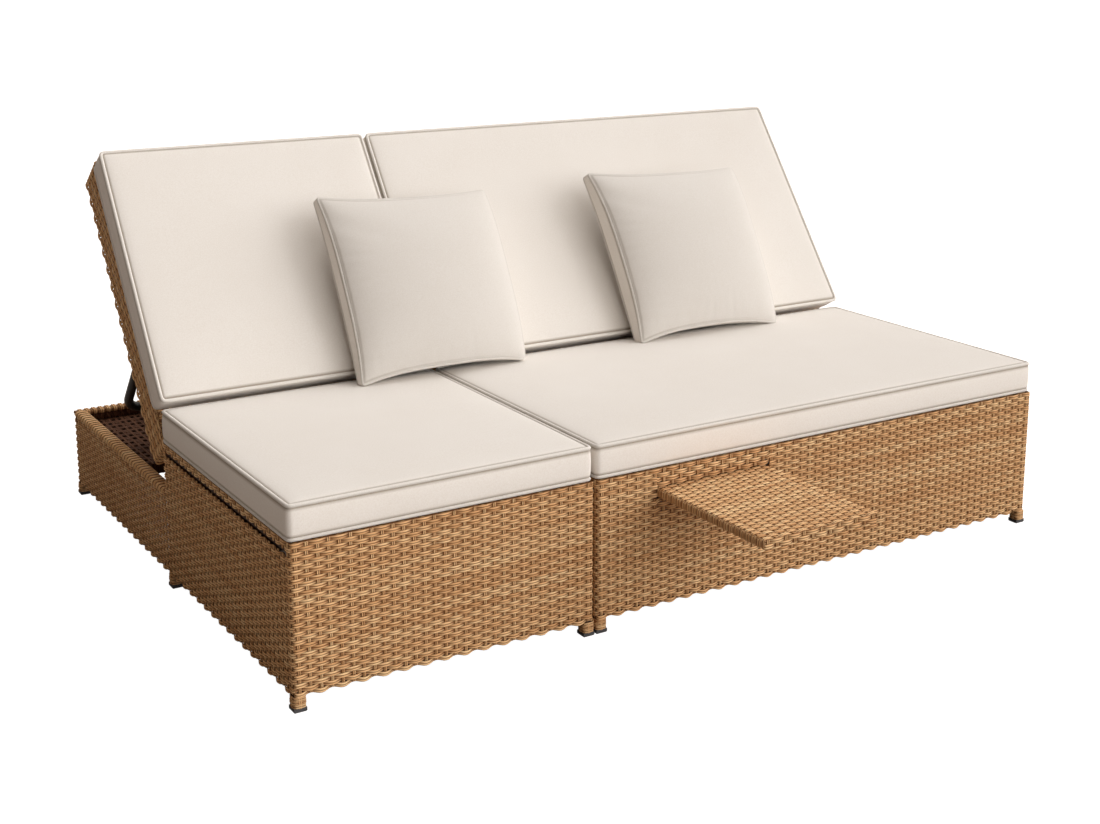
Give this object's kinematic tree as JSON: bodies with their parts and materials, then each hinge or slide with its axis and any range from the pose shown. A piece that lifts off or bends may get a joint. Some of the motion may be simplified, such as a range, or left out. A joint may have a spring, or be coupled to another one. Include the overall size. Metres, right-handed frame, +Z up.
{
  "type": "double chaise lounger",
  "caption": "Woven outdoor daybed in a narrow and a wide module, with folding backs on steel props, piped cushions, throw pillows and a pull-out side table.",
  "frame": {"origin": "bottom centre of the whole lounger's box at rest, with the table pulled out, on the floor", "axes": "+X to the right along the front, +Y to the rear, +Z up"},
  "size_m": [1.915, 1.772, 0.9246],
  "materials": {
    "wicker": "woven flat plastic strands, natural tan",
    "frame_steel": "dark brown powder coat",
    "prop_steel": "black powder coat, satin",
    "cap_plastic": "moulded, matt",
    "hardware": "zinc plated",
    "fabric": "off-white woven cloth with piping"
  },
  "bodies": {
    "root": {"left_base_frame": "frame_steel", "left_front_panel": "wicker", "left_hinge_brackets": "hardware", "left_left_seat_panel": "wicker", "left_left_tray_panel": "wicker", "left_leg_caps": "cap_plastic", "left_leg_sleeves": "wicker", "left_prop_racks": "frame_steel", "left_right_seat_panel": "wicker", "left_right_tray_panel": "wicker", "left_seat_cushion": "fabric", "left_seat_deck": "wicker", "left_seat_rear_panel": "wicker", "left_tray_deck": "wicker", "left_tray_rear_panel": "wicker", "left_tray_rim": "wicker", "rack_screws": "hardware", "right_base_frame": "frame_steel", "right_front_panel": "wicker", "right_hinge_brackets": "hardware", "right_left_seat_panel": "wicker", "right_left_tray_panel": "wicker", "right_leg_caps": "cap_plastic", "right_leg_sleeves": "wicker", "right_prop_racks": "frame_steel", "right_right_seat_panel": "wicker", "right_right_tray_panel": "wicker", "right_seat_cushion": "fabric", "right_seat_deck": "wicker", "right_seat_rear_panel": "wicker", "right_tray_deck": "wicker", "right_tray_rear_panel": "wicker", "right_tray_rim": "wicker", "table_rails": "frame_steel"},
    "left_back": {"left_back_cushion": "fabric", "left_back_frame": "frame_steel", "left_back_panel": "wicker", "left_back_skirt": "wicker", "left_hinge_pins": "hardware", "left_prop_lugs": "frame_steel", "left_prop_pins": "hardware"},
    "right_back": {"right_back_cushion": "fabric", "right_back_frame": "frame_steel", "right_back_panel": "wicker", "right_back_skirt": "wicker", "right_hinge_pins": "hardware", "right_pillow": "fabric", "right_prop_lugs": "frame_steel", "right_prop_pins": "hardware"},
    "left_prop": {"left_prop": "prop_steel"},
    "right_prop": {"right_prop": "prop_steel"},
    "table": {"table_frame": "frame_steel", "table_sleeve": "wicker", "table_stops": "cap_plastic"},
    "left_pillow": {"left_pillow": "fabric"}
  },
  "joints": [
    {"name": "left_recline", "type": "hinge", "parent": "root", "child": "left_back", "pos_m": [-0.6275, 0.192, 0.316], "axis": [1, 0, 0], "range_deg": [-54, 0]},
    {"name": "left_prop_fold", "type": "hinge", "parent": "left_back", "child": "left_prop", "pos_m": [-0.6275, 0.39025, 0.53784], "axis": [1, 0, 0], "range_deg": [0, 103]},
    {"name": "right_recline", "type": "hinge", "parent": "root", "child": "right_back", "pos_m": [0.3325, 0.192, 0.316], "axis": [1, 0, 0], "range_deg": [-54, 0]},
    {"name": "right_prop_fold", "type": "hinge", "parent": "right_back", "child": "right_prop", "pos_m": [0.3325, 0.39025, 0.53784], "axis": [1, 0, 0], "range_deg": [0, 103]},
    {"name": "table_slide", "type": "slide", "parent": "root", "child": "table", "axis": [0, 1, 0], "range_m": [0, 0.342]},
    {"name": "left_pillow_tip", "type": "hinge", "parent": "root", "child": "left_pillow", "pos_m": [-0.3025, 0.09097, 0.42024], "axis": [-1, 0, 0], "range_deg": [-107, 0]}
  ],
  "couplings": [
    {"joint": "left_prop_fold", "follows": "left_recline", "ratio": -1.9063},
    {"joint": "right_prop_fold", "follows": "right_recline", "ratio": -1.9063}
  ]
}
